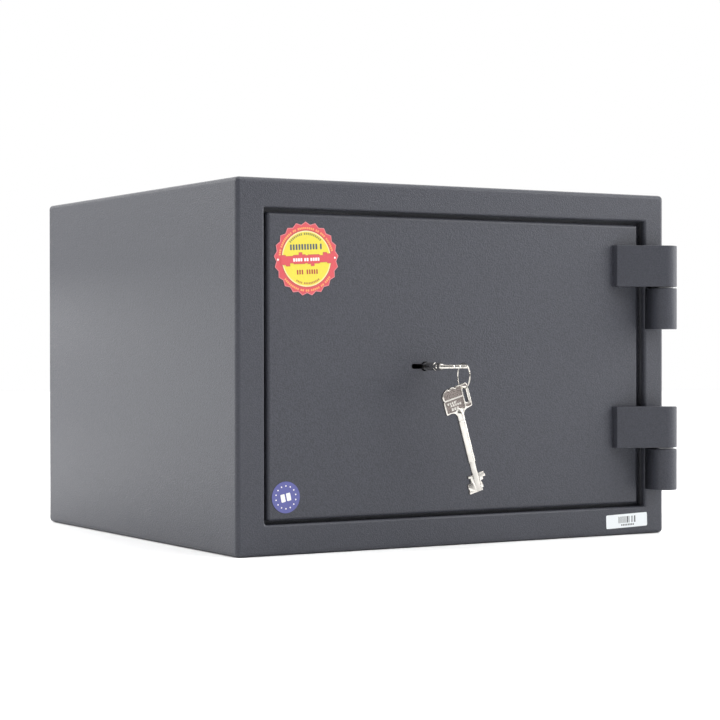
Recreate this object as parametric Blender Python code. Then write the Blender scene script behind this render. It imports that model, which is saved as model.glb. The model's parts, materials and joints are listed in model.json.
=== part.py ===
"""Small fire-resistant key-lock safe: cabinet, hinged door, three-bolt lock and its two keys.

Units are metres, +Z is up. The origin is the centre of the cabinet's bottom face, the door faces -Y
and its hinges are on the +X side. The door is closed, its bolts are drawn back, and one key is in
the lock with the second key hanging from it on a wire ring.
"""
import math

import bmesh
import bpy
from mathutils import Matrix, Vector

# ---- driving dimensions ----------------------------------------------------------------------
BODY_W = 0.445                # cabinet, outside, along X
BODY_D = 0.405                # along Y
BODY_H = 0.313                # along Z
BODY_EDGE = 0.004             # radius of the cabinet's outer edges
SIDE_SHEET = 0.003            # thickness of the case's sides, top and bottom
FACE_SHEET = 0.004            # thickness of the case's front
GAP = 0.0003                  # clearance between pieces that touch
PAST = 0.01                   # how far a cutter reaches past what it cuts
FRONT = -BODY_D / 2
BACK = BODY_D / 2
HALF_W = BODY_W / 2

APERTURE = (-0.1964, 0.2004, 0.0256, 0.2885)  # x low, x high, z low, z high
APERTURE_CORNERS = (0.0012, 0.0012, 0.0012, 0.0030)  # radii, anticlockwise from lower right
APERTURE_LIP = 0.0022         # rolled edge of the aperture

DOOR = (-0.1924, 0.1944, 0.0285, 0.2849)
DOOR_CORNERS = (0.0012, 0.0012, 0.0020, 0.0025)
MITRED = 0.004                # corners tighter than this stay nearly as tight round an edge
DOOR_EDGE = 0.003
DOOR_RECESS = 0.003           # the door's face lies this far behind the cabinet's face
DOOR_SHEET = 0.008
DOOR_FACE = FRONT + DOOR_RECESS
DOOR_REAR = DOOR_FACE + DOOR_SHEET

PAN = (-0.172, 0.178, 0.042, 0.271)           # the door's rear body
PAN_SHEET = 0.0015
PAN_FRONT = DOOR_REAR + GAP
PAN_WEB = PAN_FRONT + 0.0155                  # front of the web that splits the pan
PAN_REAR = FRONT + 0.0602

STOP_FRONT = DOOR_REAR + 0.0013               # rebate that the door plate closes against
STOP_SHEET = 0.006
STOP_REAR = STOP_FRONT + STOP_SHEET
CHANNEL_WEB = 0.014           # thickness of the bolt channel's outer wall
CHANNEL_FLANGE = 0.003
CHANNEL_REAR = PAN_REAR + 0.0056

LINER = (-0.1725, 0.1725, 0.050, 0.263)       # clear inside of the cabinet
LINER_SHEET = 0.0015
LINER_BACK = BACK - 0.050

KEY_X = -0.038                # the lock's axis runs along Y through this point
KEY_Z = 0.156
KEYHOLE_W = 0.0276
KEYHOLE_H = 0.0044
KEYHOLE_ROUND = 0.0084

HINGE_X = 0.2124              # the door's axis, parallel to Z
HINGE_Y = FRONT - 0.0126
HINGE_R = 0.012
HINGE_H = 0.03765
HINGE_GAP = 0.0014
HINGE_LOW = (0.0412, 0.1888)  # lower ends of the two hinges
HINGE_LEAF_LEFT = 0.1657
HINGE_LEAF_RISE = 0.006       # height of the leaf's thin end above the door
HINGE_LEAF_NOSE = 0.0008      # rounding of the leaf's thin end
HINGE_WEB_LEFT = 0.2005
HINGE_CHAMFER = 0.0006
PIN_R = 0.004
PIN_DEPTH = 0.030             # how far the pin reaches into each half
WASHER_R = 0.0088

BOLT_R = 0.009
BOLT_Z = (0.078, 0.156, 0.234)
BOLT_Y = FRONT + 0.0465
BOLT_TIP = PAN[0] - 0.001     # left end of the drawn-back bolts
BOLT_LENGTH = 0.045

LOCK = (-0.093, -0.003, 0.120, 0.192)         # lock case
LOCK_SHEET = 0.002
LOCK_FRONT = PAN_WEB + PAN_SHEET + GAP
LOCK_DEPTH = 0.0264

KEY_BOW_FRONT = 0.0487        # the bow's outer end, ahead of the door's face
KEY_BOW_L = 0.0255
KEY_BOW_HALF = 0.0136
KEY_THICK = 0.0030
KEY_CHAMFER = 0.0008
KEY_SHANK_R = 0.0035
KEY_NECK_R = 0.0029           # the shank's thinner end, which carries the bit
KEY_NECK_L = 0.0258
KEY_LENGTH = 0.093
KEY_BIT_L = 0.0153
KEY_BIT_T = 0.003
SLOT_OFFSET = 0.009           # from the key's axis to the middle of the slot in its bow
SLOT_W = 0.0036
SLOT_L = 0.0128
SLOT_END = 0.004             # width of the bar between the slot and the bow's end

RING_R = 0.01085              # middle of the key ring's wire
RING_WIRE = 0.00075
RING_LIFT = 0.0022            # from the key's middle plane up to the inside of the wire
RING_YAW = math.radians(5)
SPARE_TILT = math.radians(16.3)
SPARE_SET = 0.0006            # the spare hangs this far off the middle of its slot

STEEL = 16                    # segments of small round pieces


# ---- materials -------------------------------------------------------------------------------
FINISHES = {
    "graphite_coat": ((0.095, 0.098, 0.110), 0.50, 0.0),
    "inner_coat": ((0.42, 0.43, 0.45), 0.50, 0.0),
    "zinc_steel": ((0.62, 0.62, 0.60), 0.35, 1.0),
    "bright_nickel": ((0.80, 0.78, 0.74), 0.18, 1.0),
    "hard_steel": ((0.30, 0.30, 0.31), 0.40, 1.0),
    "brass": ((0.72, 0.54, 0.24), 0.30, 1.0),
    "barrier": ((0.52, 0.50, 0.46), 0.90, 0.0),
    "seal": ((0.10, 0.10, 0.10), 0.80, 0.0),
    "black_plastic": ((0.02, 0.02, 0.02), 0.45, 0.0),
    "label_white": ((0.86, 0.86, 0.84), 0.40, 0.0),
    "sticker_red": ((0.78, 0.10, 0.12), 0.35, 0.0),
    "sticker_blue": ((0.10, 0.10, 0.40), 0.35, 0.0),
}


def finish(name):
    material = bpy.data.materials.get(name)
    if material:
        return material
    colour, roughness, metallic = FINISHES[name]
    material = bpy.data.materials.new(name)
    material.use_nodes = True
    shader = material.node_tree.nodes["Principled BSDF"]
    shader.inputs["Base Color"].default_value = (*colour, 1.0)
    shader.inputs["Roughness"].default_value = roughness
    shader.inputs["Metallic"].default_value = metallic
    material.diffuse_color = (*colour, 1.0)
    return material


# ---- pivots and parts ------------------------------------------------------------------------
PIVOT_AT = {}


def pivot(name, at, parent=None):
    """An empty on a joint's axis; at is in world coordinates."""
    empty = bpy.data.objects.new(name, None)
    bpy.context.scene.collection.objects.link(empty)
    at = Vector(at)
    empty.parent = parent
    empty.location = at - (PIVOT_AT[parent.name] if parent else Vector())
    PIVOT_AT[name] = at
    return empty


def part(name, shape, finish_name, parent=None, smooth_angle=30):
    """Turn a bmesh in world coordinates into a named object that rides on its pivot."""
    if parent:
        bmesh.ops.translate(shape, vec=-PIVOT_AT[parent.name], verts=shape.verts)
    bmesh.ops.recalc_face_normals(shape, faces=shape.faces)
    mesh = bpy.data.meshes.new(name)
    shape.to_mesh(mesh)
    shape.free()
    mesh.materials.append(finish(finish_name))
    mesh.shade_smooth()
    mesh.set_sharp_from_angle(angle=math.radians(smooth_angle))
    ob = bpy.data.objects.new(name, mesh)
    bpy.context.scene.collection.objects.link(ob)
    ob.parent = parent
    return ob


def temporary(shape):
    mesh = bpy.data.meshes.new("temporary")
    bmesh.ops.recalc_face_normals(shape, faces=shape.faces)
    shape.to_mesh(mesh)
    shape.free()
    ob = bpy.data.objects.new("temporary", mesh)
    bpy.context.scene.collection.objects.link(ob)
    return ob


def combine(base, tools, operation):
    """Join the tools to the base, or cut them away from it, one after another."""
    for tool in tools:
        base_ob = temporary(base)
        tool_ob = temporary(tool)
        modifier = base_ob.modifiers.new("combine", "BOOLEAN")
        modifier.operation = operation
        modifier.solver = "EXACT"
        modifier.object = tool_ob
        depsgraph = bpy.context.evaluated_depsgraph_get()
        base = bmesh.new()
        base.from_mesh(base_ob.evaluated_get(depsgraph).data)
        bmesh.ops.remove_doubles(base, verts=base.verts, dist=0.000002)
        bmesh.ops.dissolve_degenerate(base, edges=base.edges, dist=0.000002)
        for ob in (base_ob, tool_ob):
            mesh = ob.data
            bpy.data.objects.remove(ob)
            bpy.data.meshes.remove(mesh)
    return base


def cut(base, *tools):
    return combine(base, tools, "DIFFERENCE")


def join(base, *tools):
    return combine(base, tools, "UNION")


# ---- shapes ----------------------------------------------------------------------------------
def box(x0, x1, y0, y1, z0, z1, edge=0.0, segments=2):
    shape = bmesh.new()
    size = Matrix.Diagonal((x1 - x0, y1 - y0, z1 - z0, 1.0))
    place = Matrix.Translation(((x0 + x1) / 2, (y0 + y1) / 2, (z0 + z1) / 2))
    bmesh.ops.create_cube(shape, size=1.0, matrix=place @ size)
    if edge:
        bmesh.ops.bevel(shape, geom=shape.edges[:], offset=edge, segments=segments, profile=0.5,
                        affect="EDGES", clamp_overlap=True)
    return shape


def rounded_rectangle(x0, x1, z0, z1, radii, steps=5):
    """Corner points of a rectangle with round corners, anticlockwise from the lower right."""
    points = []
    corners = ((x1, z0, -1, 1), (x1, z1, -1, -1), (x0, z1, 1, -1), (x0, z0, 1, 1))
    for corner, ((x, z, inward_x, inward_z), radius) in enumerate(zip(corners, radii)):
        for step in range(steps + 1):
            angle = math.radians(90 * (corner - 1 + step / steps))
            points.append((x + radius * (inward_x + math.cos(angle)),
                           z + radius * (inward_z + math.sin(angle))))
    return points


def stack(loops):
    """A closed solid through loops of world points, each with as many points as the next."""
    shape = bmesh.new()
    rings = [[shape.verts.new(point) for point in loop] for loop in loops]
    for lower, upper in zip(rings, rings[1:]):
        for i in range(len(lower)):
            j = (i + 1) % len(lower)
            shape.faces.new((lower[i], lower[j], upper[j], upper[i]))
    shape.faces.new(rings[0])
    shape.faces.new(rings[-1])
    bmesh.ops.recalc_face_normals(shape, faces=shape.faces)
    return shape


def plate(outline, y0, y1):
    """An outline of (x, z) points, extruded along Y."""
    return stack([[(x, y, z) for x, z in outline] for y in (y0, y1)])


def upright(outline, z0, z1, edge=0.0):
    """An outline of (x, y) points, extruded along Z, with its end faces chamfered by edge."""
    shape = stack([[(x, y, z) for x, y in outline] for z in (z0, z1)])
    if edge:
        rims = [e for e in shape.edges if abs(e.verts[0].co.z - e.verts[1].co.z) < 1e-7]
        bmesh.ops.bevel(shape, geom=rims, offset=edge, segments=2, profile=0.5,
                        affect="EDGES", clamp_overlap=True)
    return shape


def rod(start, end, radius, segments=STEEL, edge=0.0):
    """A round bar between two points, with its ends chamfered by edge."""
    start = Vector(start)
    along = Vector(end) - start
    turn = along.to_track_quat("Z", "Y")
    stations = [(0.0, radius), (along.length, radius)]
    if edge:
        stations = [(0.0, radius - edge), (edge, radius),
                    (along.length - edge, radius), (along.length, radius - edge)]
    loops = []
    for height, r in stations:
        loop = []
        for i in range(segments):
            angle = math.tau * i / segments
            loop.append(start + turn @ Vector((r * math.cos(angle), r * math.sin(angle), height)))
        loops.append(loop)
    return stack(loops)


def fillet_steps(radius, segments):
    """(depth, inset) pairs round a quarter circle, from the face to the side wall."""
    pairs = []
    for i in range(segments + 1):
        angle = math.radians(90 * i / segments)
        pairs.append((radius * (1 - math.cos(angle)), radius * (1 - math.sin(angle))))
    return pairs


def frame_loop(area, grow, corners):
    """Outline of an area grown by grow, whose rounder corners grow with it."""
    x0, x1, z0, z1 = area
    radii = [corner + grow * min(1.0, corner / MITRED) for corner in corners]
    return rounded_rectangle(x0 - grow, x1 + grow, z0 - grow, z1 + grow, radii)


def ring_plate(outer, inner, y0, y1):
    """A flat rectangular frame; outer and inner are x low, x high, z low, z high."""
    ox0, ox1, oz0, oz1 = outer
    ix0, ix1, iz0, iz1 = inner
    clear = y1 - y0
    return cut(box(ox0, ox1, y0, y1, oz0, oz1), box(ix0, ix1, y0 - clear, y1 + clear, iz0, iz1))


def inset(area, amount):
    x0, x1, z0, z1 = area
    return (x0 + amount, x1 - amount, z0 + amount, z1 - amount)


def area_box(area, y0, y1, edge=0.0):
    x0, x1, z0, z1 = area
    return box(x0, x1, y0, y1, z0, z1, edge)


CASE = (-HALF_W, HALF_W, 0.0, BODY_H)
INSIDE_CASE = inset(CASE, SIDE_SHEET + GAP)
ANCHORS_X = (-0.110, 0.110)
BASE_ANCHOR_Y = 0.020
REAR_ANCHOR_Z = 0.190
ANCHOR_R = 0.008              # outside of an anchor sleeve
ANCHOR_WALL = 0.0015
REAR_PANEL = 0.003
REAR_SET = 0.001              # the rear panel lies this far inside the case's back edge
REAR_INSIDE = BACK - REAR_SET - REAR_PANEL
STOP_OVERLAP = 0.002          # step between the aperture and the stop frame behind it
FLANGE_EDGE = 0.001           # frames inside the case are cut back by this at their rims
FLANGE_REACH = 0.035
STRIKE_SHEET = 0.004


# ---- cabinet ---------------------------------------------------------------------------------
def anchor_axes():
    """Name, outside point and inside point of each anchor hole's axis."""
    axes = []
    for side, x in zip(("left", "right"), ANCHORS_X):
        axes.append(("base_anchor", side, Vector((x, BASE_ANCHOR_Y, 0.0)),
                     Vector((x, BASE_ANCHOR_Y, LINER[2]))))
        axes.append(("rear_anchor", side, Vector((x, BACK, REAR_ANCHOR_Z)),
                     Vector((x, LINER_BACK, REAR_ANCHOR_Z))))
    return axes


def anchor_cutter(outside, inside, radius):
    along = (inside - outside).normalized() * 0.005
    return rod(outside - along, inside + along, radius)


def anchor_cutters(radius, kind=None):
    return [anchor_cutter(outside, inside, radius)
            for name, side, outside, inside in anchor_axes() if kind in (None, name)]


def make_outer_shell():
    case = area_box(CASE, FRONT, BACK)
    long_edges = [e for e in case.edges if min(v.co.y for v in e.verts) < BACK - 0.001]
    bmesh.ops.bevel(case, geom=long_edges, offset=BODY_EDGE, segments=4, profile=0.5,
                    affect="EDGES", clamp_overlap=True)
    hollow = area_box(inset(CASE, SIDE_SHEET), FRONT + FACE_SHEET, BACK + PAST)
    lip = []
    for depth, grow in [(-PAST, APERTURE_LIP)] + fillet_steps(APERTURE_LIP, 4) + [(2 * PAST, 0.0)]:
        outline = frame_loop(APERTURE, grow, APERTURE_CORNERS)
        lip.append([(x, FRONT + depth, z) for x, z in outline])
    shell = cut(case, hollow, stack(lip), *anchor_cutters(ANCHOR_R + GAP, "base_anchor"))
    part("outer_shell", shell, "graphite_coat")


def make_rear_panel():
    panel = area_box(INSIDE_CASE, REAR_INSIDE, BACK - REAR_SET, FLANGE_EDGE)
    part("rear_panel", cut(panel, *anchor_cutters(ANCHOR_R + GAP, "rear_anchor")), "graphite_coat")


def make_door_stop_frame():
    front = FRONT + FACE_SHEET + GAP
    aperture = inset(APERTURE, -STOP_OVERLAP)
    frame = ring_plate(INSIDE_CASE, aperture, front, STOP_REAR)
    flange = ring_plate(inset(INSIDE_CASE, FLANGE_EDGE), inset(INSIDE_CASE, FLANGE_REACH),
                        STOP_FRONT, STOP_REAR)
    part("door_stop_frame", join(frame, flange), "graphite_coat")


def make_strike_bar():
    """Angle bar in the left side of the channel; the thrown bolts bear on its rear face."""
    left = INSIDE_CASE[0] + CHANNEL_WEB + GAP
    right = INSIDE_CASE[0] + FLANGE_REACH
    low = BOLT_Z[0] - 0.020
    high = BOLT_Z[-1] + 0.020
    rear = BOLT_Y - BOLT_R - 0.0012
    face = box(left, right, rear - STRIKE_SHEET, rear, low, high)
    leg = box(left, left + STRIKE_SHEET, STOP_REAR + GAP, rear - STRIKE_SHEET / 2, low, high)
    part("strike_bar", join(face, leg), "zinc_steel")


def make_bolt_channel():
    front = STOP_REAR + GAP
    web = ring_plate(INSIDE_CASE, inset(INSIDE_CASE, CHANNEL_WEB), front, CHANNEL_REAR)
    flange = ring_plate(inset(INSIDE_CASE, FLANGE_EDGE), LINER, CHANNEL_REAR - CHANNEL_FLANGE,
                        CHANNEL_REAR)
    part("bolt_channel", join(web, flange), "graphite_coat")


def make_inner_liner():
    outside = inset(LINER, -LINER_SHEET)
    box_shape = area_box(outside, CHANNEL_REAR + GAP, LINER_BACK + LINER_SHEET)
    hollow = area_box(LINER, CHANNEL_REAR - PAST, LINER_BACK)
    part("inner_liner", cut(box_shape, hollow, *anchor_cutters(ANCHOR_R + GAP)), "inner_coat")


def make_body_barrier_fill():
    block = area_box(INSIDE_CASE, CHANNEL_REAR + GAP, REAR_INSIDE - GAP)
    hollow = area_box(inset(LINER, -LINER_SHEET - GAP), CHANNEL_REAR - PAST,
                      LINER_BACK + LINER_SHEET + GAP)
    part("body_barrier_fill", cut(block, hollow, *anchor_cutters(ANCHOR_R + GAP)), "barrier")


def make_anchors():
    bore = ANCHOR_R - ANCHOR_WALL
    for name, side, outside, inside in anchor_axes():
        along = (inside - outside).normalized()
        sleeve_start = outside + along * 0.0005
        sleeve_end = inside - along * 0.0005
        sleeve = cut(rod(sleeve_start, sleeve_end, ANCHOR_R),
                     rod(sleeve_start - along * PAST, sleeve_end + along * PAST, bore))
        part(name + "_sleeve_" + side, sleeve, "zinc_steel")
        cap = rod(inside + along * GAP, inside + along * 0.0025, ANCHOR_R + 0.003, edge=0.0006)
        stem = rod(inside - along * 0.014, inside + along * 0.001, bore - GAP)
        part(name + "_plug_" + side, join(cap, stem), "black_plastic")


SHELF_Z = 0.150
SHELF_FRONT = CHANNEL_REAR + 0.012
SHELF_REAR = LINER_BACK - 0.004
SHELF_SHEET = 0.0015
SHELF_DROP = 0.012            # height of the shelf's front lip and of its brackets


def make_shelf():
    left = LINER[0] + 0.0010
    right = LINER[1] - 0.0010
    sheet = SHELF_SHEET
    top = box(left, right, SHELF_FRONT, SHELF_REAR, SHELF_Z - sheet, SHELF_Z)
    drop = box(left, right, SHELF_FRONT, SHELF_FRONT + sheet, SHELF_Z - SHELF_DROP,
               SHELF_Z - sheet / 2)
    part("shelf", join(top, drop), "inner_coat")


def make_shelf_brackets():
    sheet = SHELF_SHEET
    leg = SHELF_DROP
    top = SHELF_Z - sheet - GAP
    start = SHELF_FRONT + 0.004
    for side, wall, inward in (("left", LINER[0], 1.0), ("right", LINER[1], -1.0)):
        outer = wall + inward * GAP
        flange_x = sorted((outer, outer + inward * leg))
        web_x = sorted((outer, outer + inward * sheet))
        flange = box(*flange_x, start, SHELF_REAR, top - sheet, top)
        web = box(*web_x, start, SHELF_REAR, top - leg, top - sheet / 2)
        part("shelf_bracket_" + side, join(flange, web), "inner_coat")


# ---- hinges ----------------------------------------------------------------------------------
def tangent_angle(px, py, upper):
    """Angle, at the barrel's centre, of the point where a line from (px, py) touches the barrel."""
    dx = px - HINGE_X
    dy = py - HINGE_Y
    spread = math.acos(HINGE_R / math.hypot(dx, dy))
    return math.atan2(dy, dx) + (spread if upper else -spread)


def barrel_arc(start, end, steps):
    points = []
    for i in range(steps + 1):
        angle = start + (end - start) * i / steps
        points.append((HINGE_X + HINGE_R * math.cos(angle), HINGE_Y + HINGE_R * math.sin(angle)))
    return points


def leaf_outline():
    """Section of the door's half of a hinge: a flat foot that tapers up to the barrel."""
    foot_y = DOOR_FACE - GAP
    step_y = HINGE_Y + HINGE_R
    nose_y = foot_y - HINGE_LEAF_RISE
    touch = tangent_angle(HINGE_LEAF_LEFT, nose_y, True)
    start = touch - math.tau if touch > 0 else touch
    arc = barrel_arc(start, math.pi / 2, 22)
    foot_right = DOOR[1] - DOOR_EDGE
    nose = HINGE_LEAF_NOSE
    return [(foot_right + 0.0035, step_y), (foot_right, foot_y), (HINGE_LEAF_LEFT, foot_y),
            (HINGE_LEAF_LEFT, nose_y + nose), (HINGE_LEAF_LEFT + nose / 3, nose_y + nose / 3),
            (HINGE_LEAF_LEFT + nose, nose_y - nose * 0.4)] + arc


def knuckle_outline():
    """Section of the cabinet's half of a hinge: the barrel on a web that stands on the frame."""
    foot_y = FRONT - GAP
    touch = tangent_angle(HINGE_WEB_LEFT, foot_y, True)
    start = touch - math.tau if touch > 0 else touch
    return [(HINGE_X + 0.002, foot_y), (HINGE_WEB_LEFT, foot_y)] + barrel_arc(start, math.pi / 4, 20)


def make_hinges(door_pivot):
    bore = PIN_R + GAP
    for place, low in zip(("lower", "upper"), HINGE_LOW):
        top = low + HINGE_H
        leaf_low = top + HINGE_GAP
        leaf_top = leaf_low + HINGE_H
        knuckle = cut(upright(knuckle_outline(), low, top, HINGE_CHAMFER),
                      rod((HINGE_X, HINGE_Y, top - PIN_DEPTH), (HINGE_X, HINGE_Y, top + PAST), bore))
        part("hinge_knuckle_" + place, knuckle, "graphite_coat")
        leaf = cut(upright(leaf_outline(), leaf_low, leaf_top, HINGE_CHAMFER),
                   rod((HINGE_X, HINGE_Y, leaf_low - PAST),
                       (HINGE_X, HINGE_Y, leaf_low + PIN_DEPTH), bore))
        part("hinge_leaf_" + place, leaf, "graphite_coat", door_pivot)
        pin = rod((HINGE_X, HINGE_Y, top - PIN_DEPTH + GAP),
                  (HINGE_X, HINGE_Y, leaf_low + PIN_DEPTH - 0.002), PIN_R, edge=0.0005)
        part("hinge_pin_" + place, pin, "zinc_steel")
        washer = cut(rod((HINGE_X, HINGE_Y, top + GAP),
                         (HINGE_X, HINGE_Y, leaf_low - GAP), WASHER_R),
                     rod((HINGE_X, HINGE_Y, low), (HINGE_X, HINGE_Y, leaf_top), bore))
        part("thrust_washer_" + place, washer, "hard_steel")


# ---- door ------------------------------------------------------------------------------------
def keyhole_cutter(y0, y1):
    slot = plate(rounded_rectangle(KEY_X - KEYHOLE_W / 2, KEY_X + KEYHOLE_W / 2,
                                   KEY_Z - KEYHOLE_H / 2, KEY_Z + KEYHOLE_H / 2,
                                   [KEYHOLE_H / 2 - 0.0001] * 4), y0, y1)
    return join(slot, rod((KEY_X, y0, KEY_Z), (KEY_X, y1, KEY_Z), KEYHOLE_ROUND / 2))


def make_door_plate(door_pivot):
    loops = []
    for depth, grow in fillet_steps(DOOR_EDGE, 4) + [(DOOR_SHEET, 0.0)]:
        outline = frame_loop(DOOR, -grow, DOOR_CORNERS)
        loops.append([(x, DOOR_FACE + depth, z) for x, z in outline])
    door = cut(stack(loops), keyhole_cutter(DOOR_FACE - PAST, DOOR_REAR + PAST))
    part("door_plate", door, "graphite_coat", door_pivot)


GUIDE_TUBE_R = 0.0125
SCREW_HOLE_R = 0.0023
SCREW_SHANK_R = 0.0020
SCREW_HEAD_R = 0.0040
SCREW_HEAD_H = 0.0020
SCREW_SLOT_H = 0.0010
POST_HALF = 0.006             # half the width of a post that a cover screw goes into
HARD_PLATE_HALF = (0.045, 0.040)
HARD_PLATE_T = 0.004
SEAL_FRONT = PAN_FRONT + 0.0015
SEAL_T = 0.0018
SEAL_W = 0.012
FIXED_BAR_MIDDLE = DOOR_FACE + 0.028
FIXED_BAR_SIDE = 0.012


def make_door_pan(door_pivot):
    web_rear = PAN_WEB + PAN_SHEET
    inner = inset(PAN, PAN_SHEET)
    pan = cut(area_box(PAN, PAN_FRONT, PAN_REAR),
              area_box(inner, PAN_FRONT - PAST, PAN_WEB),
              area_box(inner, web_rear, PAN_REAR + PAST),
              rod((KEY_X, PAN_FRONT, KEY_Z), (KEY_X, LOCK_FRONT, KEY_Z), GUIDE_TUBE_R + GAP))
    for z in BOLT_Z:
        pan = cut(pan, rod((PAN[0] - PAST, BOLT_Y, z), (PAN[0] + PAST, BOLT_Y, z), BOLT_R + GAP))
    posts = [box(x - POST_HALF, x + POST_HALF, web_rear - PAN_SHEET / 3, cover_front() - GAP,
                 z - POST_HALF, z + POST_HALF) for x, z in cover_screw_places()]
    pan = join(pan, *posts)
    holes = [rod((x, cover_front() - 0.012, z), (x, cover_front() + PAST, z), SCREW_HOLE_R, 12)
             for x, z in cover_screw_places()]
    part("door_pan", cut(pan, *holes), "graphite_coat", door_pivot)


def cover_front():
    return PAN_REAR - PAN_SHEET


def cover_screw_places():
    x0, x1, z0, z1 = inset(PAN, PAN_SHEET + 0.0065)
    return [(x, z) for x in (x0, x1 - 0.008) for z in (z0 + 0.006, z1 - 0.006)]


def make_door_barrier_fill(door_pivot):
    slab = area_box(inset(PAN, PAN_SHEET + GAP), PAN_FRONT, PAN_WEB - GAP)
    slab = cut(slab, rod((KEY_X, PAN_FRONT - PAST, KEY_Z), (KEY_X, PAN_WEB + PAST, KEY_Z),
                         GUIDE_TUBE_R + GAP),
               hard_plate_box(GAP))
    part("door_barrier_fill", slab, "barrier", door_pivot)


def hard_plate_box(grow):
    half_w = HARD_PLATE_HALF[0] + grow
    half_h = HARD_PLATE_HALF[1] + grow
    return box(KEY_X - half_w, KEY_X + half_w, PAN_FRONT - grow, PAN_FRONT + HARD_PLATE_T + grow,
               KEY_Z - half_h, KEY_Z + half_h)


def make_hard_plate(door_pivot):
    hole = rod((KEY_X, PAN_FRONT - PAST, KEY_Z), (KEY_X, PAN_WEB, KEY_Z), GUIDE_TUBE_R + GAP)
    part("hard_plate", cut(hard_plate_box(0.0), hole), "hard_steel", door_pivot)


def make_key_guide_tube(door_pivot):
    rear = LOCK_FRONT - GAP
    tube = cut(rod((KEY_X, PAN_FRONT, KEY_Z), (KEY_X, rear, KEY_Z), GUIDE_TUBE_R, 28),
               rod((KEY_X, PAN_FRONT - PAST, KEY_Z), (KEY_X, rear + PAST, KEY_Z),
                   GUIDE_TUBE_R - 0.0015, 28))
    part("key_guide_tube", tube, "zinc_steel", door_pivot)


def make_door_rear_cover(door_pivot):
    cover = area_box(inset(PAN, PAN_SHEET + GAP), cover_front(), PAN_REAR)
    holes = [rod((x, cover_front() - PAST, z), (x, PAN_REAR + PAST, z), SCREW_HOLE_R, 12)
             for x, z in cover_screw_places()]
    part("door_rear_cover", cut(cover, *holes), "graphite_coat", door_pivot)
    for number, (x, z) in enumerate(cover_screw_places(), start=1):
        head_top = PAN_REAR + GAP + SCREW_HEAD_H
        head = rod((x, PAN_REAR + GAP, z), (x, head_top, z), SCREW_HEAD_R, STEEL, 0.0006)
        shank = rod((x, cover_front() - 0.010, z), (x, PAN_REAR + 0.001, z), SCREW_SHANK_R, 12)
        screw = cut(join(head, shank),
                    box(x - 0.0030, x + 0.0030, head_top - SCREW_SLOT_H, head_top + PAST,
                        z - SCREW_SLOT_H / 2, z + SCREW_SLOT_H / 2))
        part("cover_screw_%d" % number, screw, "zinc_steel", door_pivot)


def make_fire_seal_strip(door_pivot):
    strip = ring_plate(inset(PAN, -GAP - SEAL_T), inset(PAN, -GAP), SEAL_FRONT, SEAL_FRONT + SEAL_W)
    part("fire_seal_strip", strip, "seal", door_pivot)


def make_hinge_side_locking_bar(door_pivot):
    left = PAN[1] + GAP
    half = FIXED_BAR_SIDE / 2
    bar = box(left, left + 0.0115, FIXED_BAR_MIDDLE - half, FIXED_BAR_MIDDLE + half,
              PAN[2] + 0.018, PAN[3] - 0.018, 0.0012)
    part("hinge_side_locking_bar", bar, "zinc_steel", door_pivot)


BOLT_TAIL = BOLT_TIP + BOLT_LENGTH
BOLT_GUIDE_X = PAN[0] + 0.008
BOLT_GUIDE_T = 0.003


def make_bolt_guide_plate(door_pivot):
    guide = box(BOLT_GUIDE_X, BOLT_GUIDE_X + BOLT_GUIDE_T, LOCK_FRONT, cover_front() - 0.002,
                BOLT_Z[0] - 0.014, BOLT_Z[-1] + 0.014)
    holes = [rod((BOLT_GUIDE_X - PAST, BOLT_Y, z), (BOLT_GUIDE_X + PAST, BOLT_Y, z), BOLT_R + GAP)
             for z in BOLT_Z]
    part("bolt_guide_plate", cut(guide, *holes), "zinc_steel", door_pivot)


# ---- stickers and label ----------------------------------------------------------------------
RATING_AT = (-0.1554, 0.2465)
RATING_R = 0.0311
RATING_NOTCH = 0.0023
RATING_POINTS = 21
RATING_START = math.radians(5.7)              # direction of the first point
ROUND_AT = (-0.1753, 0.0479)
ROUND_R = 0.0132
LABEL_AT = (0.179, 0.0131)
LABEL_SIZE = (0.0471, 0.0125)
LABEL_TILT = math.radians(1.75)
LABEL_CORNER = 0.0012
FOIL = 0.00025


def make_stickers(door_pivot):
    top = DOOR_FACE - GAP
    outline = []
    for i in range(RATING_POINTS * 2):
        angle = RATING_START + math.tau * i / (RATING_POINTS * 2)
        radius = RATING_R - RATING_NOTCH * (i % 2)
        outline.append((RATING_AT[0] + radius * math.cos(angle),
                        RATING_AT[1] + radius * math.sin(angle)))
    part("rating_sticker", plate(outline, top - FOIL, top), "sticker_red", door_pivot)
    disc = rod((ROUND_AT[0], top - FOIL, ROUND_AT[1]), (ROUND_AT[0], top, ROUND_AT[1]), ROUND_R, 48)
    part("round_sticker", disc, "sticker_blue", door_pivot)


def make_frame_label():
    half_w = LABEL_SIZE[0] / 2
    half_h = LABEL_SIZE[1] / 2
    cos_t = math.cos(LABEL_TILT)
    sin_t = math.sin(LABEL_TILT)
    outline = [(LABEL_AT[0] + x * cos_t - z * sin_t, LABEL_AT[1] + x * sin_t + z * cos_t)
               for x, z in rounded_rectangle(-half_w, half_w, -half_h, half_h,
                                         [LABEL_CORNER] * 4)]
    part("frame_label", plate(outline, FRONT - GAP - FOIL, FRONT - GAP), "label_white")


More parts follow.
